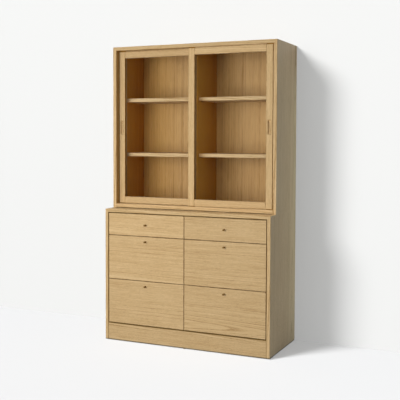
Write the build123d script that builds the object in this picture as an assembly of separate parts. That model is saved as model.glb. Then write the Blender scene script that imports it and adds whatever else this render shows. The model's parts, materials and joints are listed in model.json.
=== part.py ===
from build123d import *
import os

# Two-part oak kitchen cabinet: a drawer unit with a shallower glazed unit standing on it.
# Millimetres. X runs to the right, Y to the rear, Z up; the fronts face -Y.
# The origin is on the floor, at the centre of the whole outline, knobs included.

# ---- Case ----
width = 1185.0
lower_height = 898.0
upper_height = 1102.0
lower_depth = 515.0
upper_depth = 410.0
board = 24.0              # case boards, dividers and shelves
back_board = 9.0          # thin back panels
back_seat = 10.0          # how far a back panel reaches into the boards around it
edge_round = 1.2          # rounding of the boards' front edges
fit_gap = 0.3             # play of a panel, tenon or insert in its groove
rest_gap = 0.3            # gap at a seat that a moving piece rests on

# ---- Lower unit ----
glide_height = 4.0
glide_radius = 11.0
glide_chamfer = 1.0
glide_inset = 60.0        # from the front and the rear to a glide's centre
kick_height = 98.0        # from the floor to the underside of the bottom board

# ---- Drawers ----
drawer_rows = ("top", "middle", "lower")  # a shallow row over rows of equal height
top_front_height = 147.0
front_board = 22.0        # thickness of the fronts
reveal = 3.0              # gap around every front
front_below = 14.0        # a front reaches this far below its drawer's sides
front_above = 30.0        # and this far above them
drawer_board = 15.0       # drawer sides and backs
drawer_base = 6.0         # drawer bottoms
drawer_rear_space = 44.0  # from a closed drawer to the back panel
side_play = 2.0           # between a drawer's side and the case
base_groove = 5.0         # depth of the grooves that hold a drawer's bottom
base_lift = 12.0          # from a side's lower edge to its bottom's groove
back_drop = 6.0           # a drawer's back ends this far below its sides' tops

# ---- Wooden drawer runners ----
runner_height = 17.0
runner_groove = 8.0       # depth of the groove in the drawer's side
runner_end_gap = 0.8      # between a runner and the floor of that groove
runner_start = 30.0       # from the front's rear face to the runner
runner_rear_space = 10.0  # from the runner's end to the closed drawer's rear

# ---- Knobs ----
knob_reach = 20.0
knob_radius = 6.5
knob_head = 8.5           # length of the head
knob_round = 1.4
knob_neck_radius = 4.0
knob_foot_radius = 5.5
knob_foot = 1.5
knob_drop = 35.0          # from a deep front's upper edge to its knob's centre
knob_screw_radius = 2.0
knob_screw_reach = 12.0   # into the knob
knob_screw_head = 2.5     # length of the head
knob_screw_head_radius = 4.0

# ---- Upper unit ----
bottom_rise = 4.0         # the upper bottom board stands this far above the worktop
shelf_rises = (350.0, 726.0)  # from the upper bottom board to the shelves' tops
shelf_behind_doors = 28.0
divider_behind_doors = 5.0
shelf_play = 1.0          # at a shelf's ends and rear

# ---- Sliding doors ----
stile = 44.0              # width of the stiles and rails
door_board = 30.0         # thickness of the doors
door_round = 0.8
door_recess = 2.5         # from the case's front edges to the front door
door_spacing = 4.5        # between the two doors
door_side_gap = 4.0
door_gap_below = 4.0
door_gap_above = 6.0
tongue = 8.0              # thickness of the guide tongues
tongue_play = 0.5         # on each side of a tongue
lower_track = 7.0         # depth of the grooves below the doors
upper_track = 14.0        # the grooves above are deeper, so that a door lifts out
upper_tongue = 6.0        # how far a door reaches into its upper groove
glass = 4.0
front_lip = 13.0          # wood in front of the glass
rebate = 9.0              # width of the glazing rebate
glass_play = 2.0
bead_inset = 1.0          # from the door's rear face to the glazing beads
tenon = 10.0              # thickness of the rails' tenons
tenon_length = 20.0
tenon_shoulder = 9.0      # above and below a tenon
tenon_margin = 1.0        # from a tenon to the glazing rebate

# ---- Finger pulls ----
pull_width = 24.0
pull_height = 92.0
pull_depth = 11.0         # depth of the pocket in the stile
pull_wall = 2.0
pull_proud = 0.8          # the rim stands this far in front of the stile
pull_round = 0.35
pull_corner = 6.0

# ---- Shelf pins ----
pin_radius = 2.5
pin_cover = 3.0           # wood left between the ends of two opposite pins
pin_reach = 9.0           # under the shelf
pin_plate = 3.0           # thickness of the flat that carries the shelf
pin_plate_width = 10.0
pin_inset = 45.0          # from a shelf's front and rear edges
bore_play = 0.05          # round a pin, dowel or screw

# ---- Dowels ----
dowel_radius = 4.0
dowel_cover = 9.0         # wood left beyond a dowel's end
dowel_inset = 55.0        # from a board's edge to its outer dowels
kick_dowel_inset = 25.0   # from the kickboard's edges to its dowels
stack_dowel_inset = 110.0  # from the upper unit's edges to the dowels it stands on

# ---- Back panel screws ----
screw_radius = 1.75
screw_head_radius = 3.5
screw_bite = 16.0         # into the board behind the back panel
screw_pitch = 240.0       # largest distance between two screws
screw_inset = 40.0        # from a back panel's corner to its first screw

# ---- Places worked out from the sizes above ----
front_y = knob_reach - (lower_depth + knob_reach) / 2
rear_y = front_y + lower_depth
upper_front_y = rear_y - upper_depth
back_y = rear_y - back_board
half_width = width / 2
half_board = board / 2
inner_x = half_width - board
height = lower_height + upper_height
worktop_underside = lower_height - board
lower_floor = kick_height + board
upper_bottom_z = lower_height + bottom_rise
upper_floor = upper_bottom_z + board
upper_ceiling = height - board
bay_width = inner_x - half_board
bay_centre = half_board + bay_width / 2

deep_space = worktop_underside - lower_floor - reveal - top_front_height - reveal
deep_rows = len(drawer_rows) - 1
deep_front_height = deep_space / deep_rows - reveal
front_width = (2 * inner_x - 3 * reveal) / 2
front_back_y = front_y + front_board
drawer_end_y = back_y - drawer_rear_space

door_width = inner_x - door_side_gap + stile / 2
door_bottom = upper_floor + door_gap_below
door_top = upper_ceiling - door_gap_above
right_door_y = upper_front_y + door_recess
left_door_y = right_door_y + door_board + door_spacing
behind_doors_y = left_door_y + door_board
shelf_front_y = behind_doors_y + shelf_behind_doors
shelf_rear_y = back_y - shelf_play
pull_z = (door_bottom + door_top) / 2
dowel_length = 2 * (board - dowel_cover)


# ---- Helpers ----
def block(xs, ys, zs):
    size = [high - low for low, high in (xs, ys, zs)]
    middle = [(high + low) / 2 for low, high in (xs, ys, zs)]
    return Pos(*middle) * Box(*size)


def ordered(a, b):
    return (min(a, b), max(a, b))


def ease_front(piece, radius):
    # rounds the upright and level edges of a piece's front face
    edges = piece.faces().sort_by(Axis.Y)[0].edges()
    return fillet(edges.filter_by(Axis.X) + edges.filter_by(Axis.Z), radius)


def rod(radius, start, direction, length):
    return extrude(Plane(origin=start, z_dir=direction) * Circle(radius), amount=length)


def upright_outline(points, y_start, depth):
    # an outline drawn in X and Z, given a depth along Y
    face = make_face(Polyline(*[(x, y_start, z) for x, z in points], close=True))
    return extrude(face, amount=depth, dir=(0, 1, 0))


def spread(low, high, count):
    step = (high - low) / (count - 1)
    return [low + step * i for i in range(count)]


def boxes_meet(a, b):
    return (
        a.min.X <= b.max.X and b.min.X <= a.max.X
        and a.min.Y <= b.max.Y and b.min.Y <= a.max.Y
        and a.min.Z <= b.max.Z and b.min.Z <= a.max.Z
    )


def bored(piece, bores):
    # takes away the bores that reach the piece
    box = piece.bounding_box()
    reached = [bore for bore in bores if boxes_meet(box, bore.bounding_box())]
    return piece - reached if reached else piece


def save(name, *pieces):
    solids = [solid for piece in pieces for solid in piece.solids()]
    shape = solids[0] if len(solids) == 1 else Compound(children=solids)
    export_step(shape, f"parts/{name}.step")


# ---- Dowels between the case boards ----
def dowel_places():
    # the middle and the direction of each dowel, half of which is in either board
    lower_ys = spread(front_y + dowel_inset, back_y - dowel_inset, 4)
    upper_ys = spread(upper_front_y + dowel_inset, back_y - dowel_inset, 3)
    divider_ys = spread(behind_doors_y + dowel_inset, back_y - dowel_inset, 2)
    stack_ys = spread(upper_front_y + stack_dowel_inset, back_y - stack_dowel_inset, 2)
    kick_zs = spread(glide_height + kick_dowel_inset, kick_height - kick_dowel_inset, 2)
    places = []
    for side in (-1, 1):
        inner = side * inner_x
        middle = side * (half_width - half_board)
        places += [((inner, y, lower_floor - half_board), (1, 0, 0)) for y in lower_ys]
        places += [((inner, y, upper_floor - half_board), (1, 0, 0)) for y in upper_ys]
        places += [((inner, front_y + half_board, z), (1, 0, 0)) for z in kick_zs]
        places += [((middle, y, lower_height), (0, 0, 1)) for y in stack_ys]
    for z in (lower_floor, worktop_underside):
        places += [((0, y, z), (0, 0, 1)) for y in lower_ys]
    for z in (upper_floor, upper_ceiling):
        places += [((0, y, z), (0, 0, 1)) for y in divider_ys]
    return places


def dowels(play):
    rods = []
    for middle, direction in dowel_places():
        half = dowel_length / 2 + play
        start = [m - d * half for m, d in zip(middle, direction)]
        rods.append(rod(dowel_radius + play, start, direction, 2 * half))
    return rods


# ---- Screws through the back panels ----
def screw_line(low, high):
    gaps = max(1, round((high - low - 2 * screw_inset) / screw_pitch))
    return spread(low + screw_inset, high - screw_inset, gaps + 1)


def screw_places():
    seat_middle = back_seat / 2
    lower_zs = screw_line(lower_floor, worktop_underside)
    upper_zs = screw_line(upper_floor, upper_ceiling)
    level_zs = (
        lower_floor - half_board, worktop_underside + seat_middle,
        upper_floor - half_board, upper_ceiling + seat_middle,
    )
    places = []
    for x in (-inner_x - seat_middle, 0, inner_x + seat_middle):
        places += [(x, z) for z in lower_zs + upper_zs]
    for z in level_zs:
        for side in (-1, 1):
            ends = ordered(side * half_board, side * inner_x)
            places += [(x, z) for x in screw_line(*ends)]
    return places


def back_screw(x, z, play):
    # countersunk, flush with the back panel's rear face
    shank = rod(screw_radius + play, (x, rear_y, z), (0, -1, 0), back_board + screw_bite + play)
    depth = screw_head_radius - screw_radius
    head = Cone(screw_radius + play, screw_head_radius + play, depth)
    return shank + Pos(x, rear_y - depth / 2, z) * Rot(X=-90) * head


# ---- Shelf pins ----
def pin_places():
    # the face that each pin stands in, the way it points, its Y and its shelf's underside
    faces = ((-inner_x, 1), (-half_board, -1), (half_board, 1), (inner_x, -1))
    ys = (shelf_front_y + pin_inset, shelf_rear_y - pin_inset)
    undersides = [upper_floor + rise - board for rise in shelf_rises]
    return [(x, way, y, z) for x, way in faces for y in ys for z in undersides]


def pin_peg(x, way, y, shelf_z, reach, play):
    depth = half_board - pin_cover / 2 + play
    start = (x - way * depth, y, shelf_z - pin_plate)
    return rod(pin_radius + play, start, (way, 0, 0), depth + reach)


def shelf_pin(x, way, y, shelf_z):
    plate_ys = (y - pin_plate_width / 2, y + pin_plate_width / 2)
    plate = block(ordered(x, x + way * pin_reach), plate_ys, (shelf_z - pin_plate, shelf_z))
    return pin_peg(x, way, y, shelf_z, pin_reach, 0) + plate


# ---- Case boards ----
def case_side(side, z_low, z_high, y_front):
    # its upper end is mitred, and the back panel's seat is cut along its rear edge
    outer = side * half_width
    inner = side * inner_x
    outline = [(outer, z_low), (outer, z_high), (inner, z_high - board), (inner, z_low)]
    piece = ease_front(upright_outline(outline, y_front, rear_y - y_front), edge_round)
    seat_xs = ordered(0, side * (inner_x + back_seat))
    seat = block(seat_xs, (back_y, rear_y), (z_low, z_high - board + back_seat))
    return bored(piece - seat, case_bores)


def case_top(z_high, y_front):
    outline = [
        (-half_width, z_high), (half_width, z_high),
        (inner_x, z_high - board), (-inner_x, z_high - board),
    ]
    piece = ease_front(upright_outline(outline, y_front, rear_y - y_front), edge_round)
    seat_x = inner_x + back_seat
    seat_zs = (z_high - board - back_seat, z_high - board + back_seat)
    return bored(piece - block((-seat_x, seat_x), (back_y, rear_y), seat_zs), case_bores)


def case_bottom(z_low, y_front):
    piece = block((-inner_x, inner_x), (y_front, back_y), (z_low, z_low + board))
    return bored(ease_front(piece, edge_round), case_bores)


def case_divider(y_front, z_low, z_high):
    piece = block((-half_board, half_board), (y_front, back_y), (z_low, z_high))
    return bored(ease_front(piece, edge_round), case_bores)


def back_panel(z_low, z_high):
    seat_x = inner_x + back_seat
    return bored(block((-seat_x, seat_x), (back_y, rear_y), (z_low, z_high)), case_bores)


# ---- Upper unit ----
def door_track(y_door, zs):
    half = tongue / 2 + tongue_play
    middle = y_door + door_board / 2
    return block((-inner_x, inner_x), (middle - half, middle + half), zs)


def save_upper_case():
    pin_bores = [pin_peg(*place, 0, bore_play) for place in pin_places()]
    for name, side in (("left", -1), ("right", 1)):
        piece = case_side(side, lower_height, height, upper_front_y)
        save(f"upper_side_{name}", bored(piece, pin_bores))
    top = case_top(height, upper_front_y)
    bottom = case_bottom(upper_bottom_z, upper_front_y)
    for y_door in (right_door_y, left_door_y):
        top -= door_track(y_door, (upper_ceiling, upper_ceiling + upper_track))
        bottom -= door_track(y_door, (upper_floor - lower_track, upper_floor))
    save("upper_top", top)
    save("upper_bottom", bottom)
    middle = case_divider(behind_doors_y + divider_behind_doors, upper_floor, upper_ceiling)
    save("upper_divider", bored(middle, pin_bores))
    save("upper_back", back_panel(upper_bottom_z, upper_ceiling + back_seat))


def save_shelves():
    half = bay_width / 2 - shelf_play
    for column, side in (("left", -1), ("right", 1)):
        centre = side * bay_centre
        for row, rise in zip(("lower", "upper"), shelf_rises):
            top = upper_floor + rise
            shelf = block(
                (centre - half, centre + half), (shelf_front_y, shelf_rear_y), (top - board, top)
            )
            save(f"shelf_{column}_{row}", ease_front(shelf, edge_round))
    save("shelf_pins", *[shelf_pin(*place) for place in pin_places()])


# ---- Sliding doors ----
def door_tongue(xs, y_door, zs):
    middle = y_door + door_board / 2
    return block(xs, (middle - tongue / 2, middle + tongue / 2), zs)


def rail_tenon(x, way, y_door, zs, play):
    # a tenon that points into the stile from the rail's end at x
    middle = y_door + door_board / 2
    ys = (middle - tenon / 2 - play, middle + tenon / 2 + play)
    return block(ordered(x, x + way * (tenon_length + play)), ys, (zs[0] - play, zs[1] + play))


def pull_block(x, y_front, y_rear, inset):
    # an upright block with rounded corners, smaller all round by the inset
    corner = min(pull_corner, pull_width / 2 - 2 * inset) - inset
    outline = RectangleRounded(pull_width - 2 * inset, pull_height - 2 * inset, corner)
    plane = Plane(origin=(x, y_front, pull_z), x_dir=(1, 0, 0), z_dir=(0, 1, 0))
    return extrude(plane * outline, amount=y_rear - y_front)


def pull_cup(x, y_door):
    y_rim = y_door - pull_proud
    y_floor = y_door + pull_depth
    cup = pull_block(x, y_rim, y_floor, fit_gap)
    cup -= pull_block(x, y_rim, y_floor - pull_wall, fit_gap + pull_wall)
    return fillet(cup.faces().sort_by(Axis.Y)[0].edges(), pull_round)


def save_door(name, x_left, y_door, pull_side):
    x_right = x_left + door_width
    glass_left = x_left + stile
    glass_right = x_right - stile
    glass_low = door_bottom + stile
    glass_high = door_top - stile
    y_rear = y_door + door_board
    y_glass = y_door + front_lip
    y_bead = y_glass + glass
    lower_tongue_zs = (upper_floor - lower_track + rest_gap, door_bottom)
    upper_tongue_zs = (door_top, upper_ceiling + upper_tongue)
    outer = tenon_shoulder
    inner = stile - rebate - tenon_margin
    lower_tenon_zs = (door_bottom + outer, door_bottom + inner)
    upper_tenon_zs = (door_top - inner, door_top - outer)
    rebated = block(
        (glass_left - rebate, glass_right + rebate),
        (y_glass, y_rear),
        (glass_low - rebate, glass_high + rebate),
    )

    stiles = (
        ("left", -1, (x_left, glass_left), glass_left),
        ("right", 1, (glass_right, x_right), glass_right),
    )
    for side_name, way, xs, joint_x in stiles:
        piece = ease_front(block(xs, (y_door, y_rear), (door_bottom, door_top)), door_round)
        piece += [door_tongue(xs, y_door, zs) for zs in (lower_tongue_zs, upper_tongue_zs)]
        piece -= rebated
        for zs in (lower_tenon_zs, upper_tenon_zs):
            piece -= rail_tenon(joint_x, way, y_door, zs, fit_gap)
        if side_name == pull_side:
            pull_x = (xs[0] + xs[1]) / 2
            piece -= pull_block(pull_x, y_door, y_door + pull_depth, 0)
            save(f"{name}_door_pull", pull_cup(pull_x, y_door))
        save(f"{name}_door_stile_{side_name}", piece)

    rails = (
        ("bottom", (door_bottom, glass_low), lower_tongue_zs, lower_tenon_zs),
        ("top", (glass_high, door_top), upper_tongue_zs, upper_tenon_zs),
    )
    for end_name, zs, tongue_zs, tenon_zs in rails:
        xs = (glass_left, glass_right)
        rail = ease_front(block(xs, (y_door, y_rear), zs), door_round)
        rail += door_tongue(xs, y_door, tongue_zs)
        rail -= rebated
        rail += [rail_tenon(x, way, y_door, tenon_zs, 0) for x, way in zip(xs, (-1, 1))]
        save(f"{name}_door_{end_name}_rail", rail)

    reach = rebate - glass_play
    pane = block(
        (glass_left - reach, glass_right + reach),
        (y_glass, y_bead),
        (glass_low - reach, glass_high + reach),
    )
    save(f"{name}_door_glass", pane)

    bead_ys = (y_bead, y_rear - bead_inset)
    level_xs = (glass_left - rebate, glass_right + rebate)
    beads = [
        block(level_xs, bead_ys, (glass_low - rebate, glass_low)),
        block(level_xs, bead_ys, (glass_high, glass_high + rebate)),
        block((glass_left - rebate, glass_left), bead_ys, (glass_low, glass_high)),
        block((glass_right, glass_right + rebate), bead_ys, (glass_low, glass_high)),
    ]
    save(f"{name}_door_beads", *beads)


# ---- Lower unit ----
def save_lower_case():
    for name, side in (("left", -1), ("right", 1)):
        save(f"lower_side_{name}", case_side(side, glide_height, lower_height, front_y))
    save("lower_top", case_top(lower_height, front_y))
    save("lower_bottom", case_bottom(kick_height, front_y))
    save("lower_divider", case_divider(front_back_y + rest_gap, lower_floor, worktop_underside))
    save("lower_back", back_panel(glide_height, worktop_underside + back_seat))
    kick = block((-inner_x, inner_x), (front_y, front_y + board), (glide_height, kick_height))
    save("kickboard", bored(ease_front(kick, edge_round), case_bores))


def save_glides():
    side_x = half_width - half_board
    spots = [(0, front_y + half_board)]
    for side in (-1, 1):
        spots.append((side * side_x, front_y + glide_inset))
        spots.append((side * side_x, rear_y - glide_inset))
    glides = []
    for x, y in spots:
        disc = rod(glide_radius, (x, y, 0), (0, 0, 1), glide_height)
        glides.append(chamfer(disc.edges().sort_by(Axis.Z)[0], glide_chamfer))
    save("floor_glides", *glides)


# ---- Drawers ----
def drawer_levels():
    # each row's name, its fronts' lower and upper edges and its knobs' height
    levels = []
    z_high = worktop_underside - reveal
    for row in drawer_rows:
        shallow = row == drawer_rows[0]
        z_low = z_high - (top_front_height if shallow else deep_front_height)
        knob_z = (z_low + z_high) / 2 if shallow else z_high - knob_drop
        levels.append((row, z_low, z_high, knob_z))
        z_high = z_low - reveal
    return levels


def runner_zs(z_low, z_high):
    # halfway up the drawer's sides
    middle = (z_low + front_below + z_high - front_above) / 2
    return (middle - runner_height / 2, middle + runner_height / 2)


def knob_screw(x, z, play):
    start = (x, front_back_y, z)
    return rod(knob_screw_radius + play, start, (0, -1, 0), front_board + knob_screw_reach + play)


def knob(x, z):
    # the turned profile as radius and distance from the front, then the screw behind it
    head_start = knob_reach - knob_head
    profile = [
        (0, 0), (knob_foot_radius, 0), (knob_foot_radius, knob_foot),
        (knob_neck_radius, knob_foot), (knob_neck_radius, head_start),
        (knob_radius, head_start), (knob_radius, knob_reach), (0, knob_reach),
    ]
    turned = revolve(make_face(Polyline(*profile, close=True)), Axis.Y)
    rims = turned.edges().filter_by(GeomType.CIRCLE).group_by(SortBy.RADIUS)[-1]
    turned = Pos(x, front_y, z) * Rot(X=180) * fillet(rims, knob_round)
    screw_head = rod(knob_screw_head_radius, (x, front_back_y, z), (0, 1, 0), knob_screw_head)
    return turned - knob_screw(x, z, bore_play), knob_screw(x, z, 0) + screw_head


def save_drawer(name, side, z_low, z_high, knob_z):
    centre = side * bay_centre
    half_box = bay_width / 2 - side_play
    inner_half = half_box - drawer_board
    groove_half = inner_half + base_groove
    side_zs = (z_low + front_below, z_high - front_above)
    base_z = side_zs[0] + base_lift
    groove_zs = (base_z, base_z + drawer_base + fit_gap)
    base_y = front_back_y - base_groove
    groove = block((centre - groove_half, centre + groove_half), (base_y, drawer_end_y), groove_zs)

    outer_x = side * (inner_x - reveal)
    front_xs = ordered(outer_x, outer_x - side * front_width)
    knob_x = (front_xs[0] + front_xs[1]) / 2
    front = ease_front(block(front_xs, (front_y, front_back_y), (z_low, z_high)), edge_round)
    save(f"{name}_front", front - groove - knob_screw(knob_x, knob_z, bore_play))
    save(f"{name}_knob", *knob(knob_x, knob_z))

    runner_low, runner_high = runner_zs(z_low, z_high)
    slot_zs = (runner_low - rest_gap, runner_high + rest_gap)
    slot_ys = (front_back_y + runner_start - rest_gap, drawer_end_y)
    walls = []
    for way in (-1, 1):
        outside = centre + way * half_box
        wall_xs = ordered(outside, outside - way * drawer_board)
        slot_xs = ordered(outside, outside - way * runner_groove)
        wall = block(wall_xs, (front_back_y, drawer_end_y), side_zs) - groove
        walls.append(wall - block(slot_xs, slot_ys, slot_zs))
    back_ys = (drawer_end_y - drawer_board, drawer_end_y)
    back_zs = (groove_zs[1], side_zs[1] - back_drop)
    walls.append(block((centre - inner_half, centre + inner_half), back_ys, back_zs))
    save(f"{name}_box", *walls)

    base_half = groove_half - fit_gap
    base_ys = (base_y + fit_gap, drawer_end_y)
    base = block((centre - base_half, centre + base_half), base_ys, (base_z, base_z + drawer_base))
    save(f"{name}_bottom", base)


def save_drawers():
    for column, side in (("left", -1), ("right", 1)):
        for row, z_low, z_high, knob_z in drawer_levels():
            save_drawer(f"drawer_{column}_{row}", side, z_low, z_high, knob_z)


def save_runners():
    ys = (front_back_y + runner_start, drawer_end_y - runner_rear_space)
    reach = side_play + runner_groove - runner_end_gap
    runners = []
    for row, z_low, z_high, knob_z in drawer_levels():
        zs = runner_zs(z_low, z_high)
        for side in (-1, 1):
            runners.append(block(ordered(side * inner_x, side * (inner_x - reach)), ys, zs))
            runners.append(block(ordered(side * half_board, side * (half_board + reach)), ys, zs))
    save("drawer_runners", *runners)


# ---- Build every piece ----
os.makedirs("parts", exist_ok=True)
case_bores = dowels(bore_play) + [back_screw(x, z, bore_play) for x, z in screw_places()]

save_upper_case()
save_shelves()
save_door("left", door_side_gap - inner_x, left_door_y, "left")
save_door("right", inner_x - door_side_gap - door_width, right_door_y, "right")
save_lower_case()
save_glides()
save_drawers()
save_runners()
save("case_dowels", *dowels(0))
save("back_screws", *[back_screw(x, z, 0) for x, z in screw_places()])
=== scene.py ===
import json
import math

import bmesh
import bpy
from mathutils import Euler, Matrix, Vector

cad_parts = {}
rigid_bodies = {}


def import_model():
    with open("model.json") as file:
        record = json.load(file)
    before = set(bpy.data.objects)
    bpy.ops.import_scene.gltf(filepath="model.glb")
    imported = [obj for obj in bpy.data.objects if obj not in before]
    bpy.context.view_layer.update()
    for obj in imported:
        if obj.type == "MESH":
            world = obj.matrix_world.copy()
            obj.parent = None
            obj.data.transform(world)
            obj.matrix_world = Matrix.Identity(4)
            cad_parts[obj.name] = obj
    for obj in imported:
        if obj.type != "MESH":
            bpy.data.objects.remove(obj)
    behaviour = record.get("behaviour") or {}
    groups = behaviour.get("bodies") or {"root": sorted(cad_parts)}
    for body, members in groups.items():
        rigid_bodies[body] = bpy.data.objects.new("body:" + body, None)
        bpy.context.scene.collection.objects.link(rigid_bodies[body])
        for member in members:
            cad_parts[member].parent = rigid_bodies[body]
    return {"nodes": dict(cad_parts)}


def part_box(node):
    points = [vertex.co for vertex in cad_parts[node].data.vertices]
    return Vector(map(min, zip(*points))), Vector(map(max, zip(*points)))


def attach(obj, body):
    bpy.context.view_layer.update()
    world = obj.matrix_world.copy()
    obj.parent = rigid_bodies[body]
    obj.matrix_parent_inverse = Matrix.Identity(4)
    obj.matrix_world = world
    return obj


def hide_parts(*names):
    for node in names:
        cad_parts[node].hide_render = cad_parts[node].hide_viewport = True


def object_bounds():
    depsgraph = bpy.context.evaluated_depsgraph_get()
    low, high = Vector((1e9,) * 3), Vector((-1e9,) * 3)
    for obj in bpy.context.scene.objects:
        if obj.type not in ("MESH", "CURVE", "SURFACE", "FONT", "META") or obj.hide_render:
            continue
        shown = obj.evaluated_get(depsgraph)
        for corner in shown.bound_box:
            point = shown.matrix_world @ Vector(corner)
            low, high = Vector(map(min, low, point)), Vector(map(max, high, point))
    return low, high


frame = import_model()
cadLow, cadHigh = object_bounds()
nodes = frame["nodes"]
scene = bpy.context.scene
mm = 0.001


# small helpers for the node trees

def addNode(tree, kind, **settings):
    node = tree.nodes.new(kind)
    for key, value in settings.items():
        setattr(node, key, value)
    return node


def plug(tree, socket, value):
    # a socket's own value, or a wire into it
    if isinstance(value, bpy.types.NodeSocket):
        tree.links.new(value, socket)
    else:
        socket.default_value = value


def calc(tree, operation, *values, clamp=False):
    node = addNode(tree, "ShaderNodeMath", operation=operation, use_clamp=clamp)
    for socket, value in zip(node.inputs, values):
        plug(tree, socket, value)
    return node.outputs[0]


def vectorCalc(tree, operation, a, b):
    node = addNode(tree, "ShaderNodeVectorMath", operation=operation)
    plug(tree, node.inputs[0], a)
    plug(tree, node.inputs[1], b)
    return node.outputs["Value"] if operation == "LENGTH" else node.outputs["Vector"]


def remap(tree, value, fromRange, toRange, kind="LINEAR"):
    node = addNode(tree, "ShaderNodeMapRange", interpolation_type=kind)
    plug(tree, node.inputs["Value"], value)
    for name, number in zip(("From Min", "From Max", "To Min", "To Max"), (*fromRange, *toRange)):
        plug(tree, node.inputs[name], number)
    return node.outputs["Result"]


def mixColor(tree, factor, a, b, mode="MIX"):
    node = addNode(tree, "ShaderNodeMix", data_type="RGBA", blend_type=mode)
    plug(tree, node.inputs[0], factor)
    plug(tree, node.inputs[6], a)
    plug(tree, node.inputs[7], b)
    return node.outputs[2]


def noise(tree, vector, scale, detail=2.0, roughness=0.5, distortion=0.0):
    node = addNode(tree, "ShaderNodeTexNoise", noise_dimensions="3D")
    plug(tree, node.inputs["Vector"], vector)
    node.inputs["Scale"].default_value = scale
    node.inputs["Detail"].default_value = detail
    node.inputs["Roughness"].default_value = roughness
    node.inputs["Distortion"].default_value = distortion
    return node


def newGroup(name, inputs, outputs):
    tree = bpy.data.node_groups.new(name, "ShaderNodeTree")
    for socketName, kind, value in inputs:
        socket = tree.interface.new_socket(socketName, in_out="INPUT", socket_type=kind)
        if value is not None:
            socket.default_value = value
    for socketName, kind in outputs:
        tree.interface.new_socket(socketName, in_out="OUTPUT", socket_type=kind)
    return tree, addNode(tree, "NodeGroupInput").outputs, addNode(tree, "NodeGroupOutput").inputs


def placeGroup(tree, group, **values):
    node = addNode(tree, "ShaderNodeGroup", node_tree=group)
    for name, value in values.items():
        plug(tree, node.inputs[name], value)
    return node.outputs


def srgb(r, g, b):
    # 0-255 screen values as a linear colour
    return (*((c / 255 / 12.92) if c <= 10 else ((c / 255 + 0.055) / 1.055) ** 2.4 for c in (r, g, b)), 1.0)


def startMaterial(name):
    material = bpy.data.materials.new(name)
    material.use_nodes = True
    tree = material.node_tree
    shader = tree.nodes["Principled BSDF"]
    return material, tree, shader


def addBump(tree, shader, height, strength, distance):
    bump = addNode(tree, "ShaderNodeBump")
    bump.inputs["Strength"].default_value = strength
    bump.inputs["Distance"].default_value = distance
    tree.links.new(height, bump.inputs["Height"])
    tree.links.new(bump.outputs["Normal"], shader.inputs["Normal"])


# the effects that several materials share

logPattern = {
    # noise per metre: across, across and along the log
    "drift": (7.0, 7.0, 1.6),
    "pores": (1500.0, 1500.0, 55.0),
    "cloud": (9.0, 9.0, 2.0),
    "flecks": (150.0, 420.0, 60.0),
    # fibres of three sizes and their weights: broad bands, streaks, hairlines
    "fibres": (((85.0, 85.0, 2.4), 0.2), ((215.0, 215.0, 8.0), 0.5), ((640.0, 640.0, 18.0), 0.3)),
    "fibreCut": (0.34, 0.66),
    "poreCut": (0.66, 0.74),
    "poreShift": 0.3,
    "latePores": 0.22,       # what latewood keeps of the pores
    "fleckCut": (0.64, 0.72),
    # rings: how fast their width changes and by how much, where latewood builds up, where a year ends
    "widthPace": 0.31,
    "widthChange": 2.6,
    "latewood": (0.0, 0.42),
    "yearEnd": (0.9, 1.0),
    "yearPace": 0.34,
    "yearCut": (0.3, 0.7),
    "weakYear": 0.75,
}


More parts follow.
